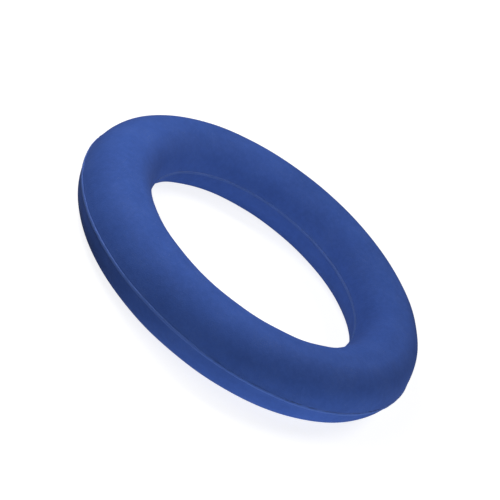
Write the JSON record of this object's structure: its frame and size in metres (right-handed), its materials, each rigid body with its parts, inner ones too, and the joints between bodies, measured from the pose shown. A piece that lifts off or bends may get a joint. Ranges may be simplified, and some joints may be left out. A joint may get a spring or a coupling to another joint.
{
  "type": "flying ring",
  "caption": "Hollow rubber throwing ring with a thick round section, bonded from moulded half shells along a low seam bead round the outside and round the hole.",
  "frame": {"origin": "centre of the ring, on the parting plane between the two shells", "axes": "+Z along the ring's axis, square to the parting plane; the ring is round, so +X points at any place on the rim"},
  "size_m": [0.179, 0.179, 0.0312],
  "materials": {
    "shell_rubber": "matte",
    "seam_cement": "satin"
  },
  "bodies": {
    "root": {"upper_shell": "shell_rubber", "lower_shell": "shell_rubber", "outer_seam_bead": "seam_cement", "inner_seam_bead": "seam_cement"}
  },
  "joints": []
}
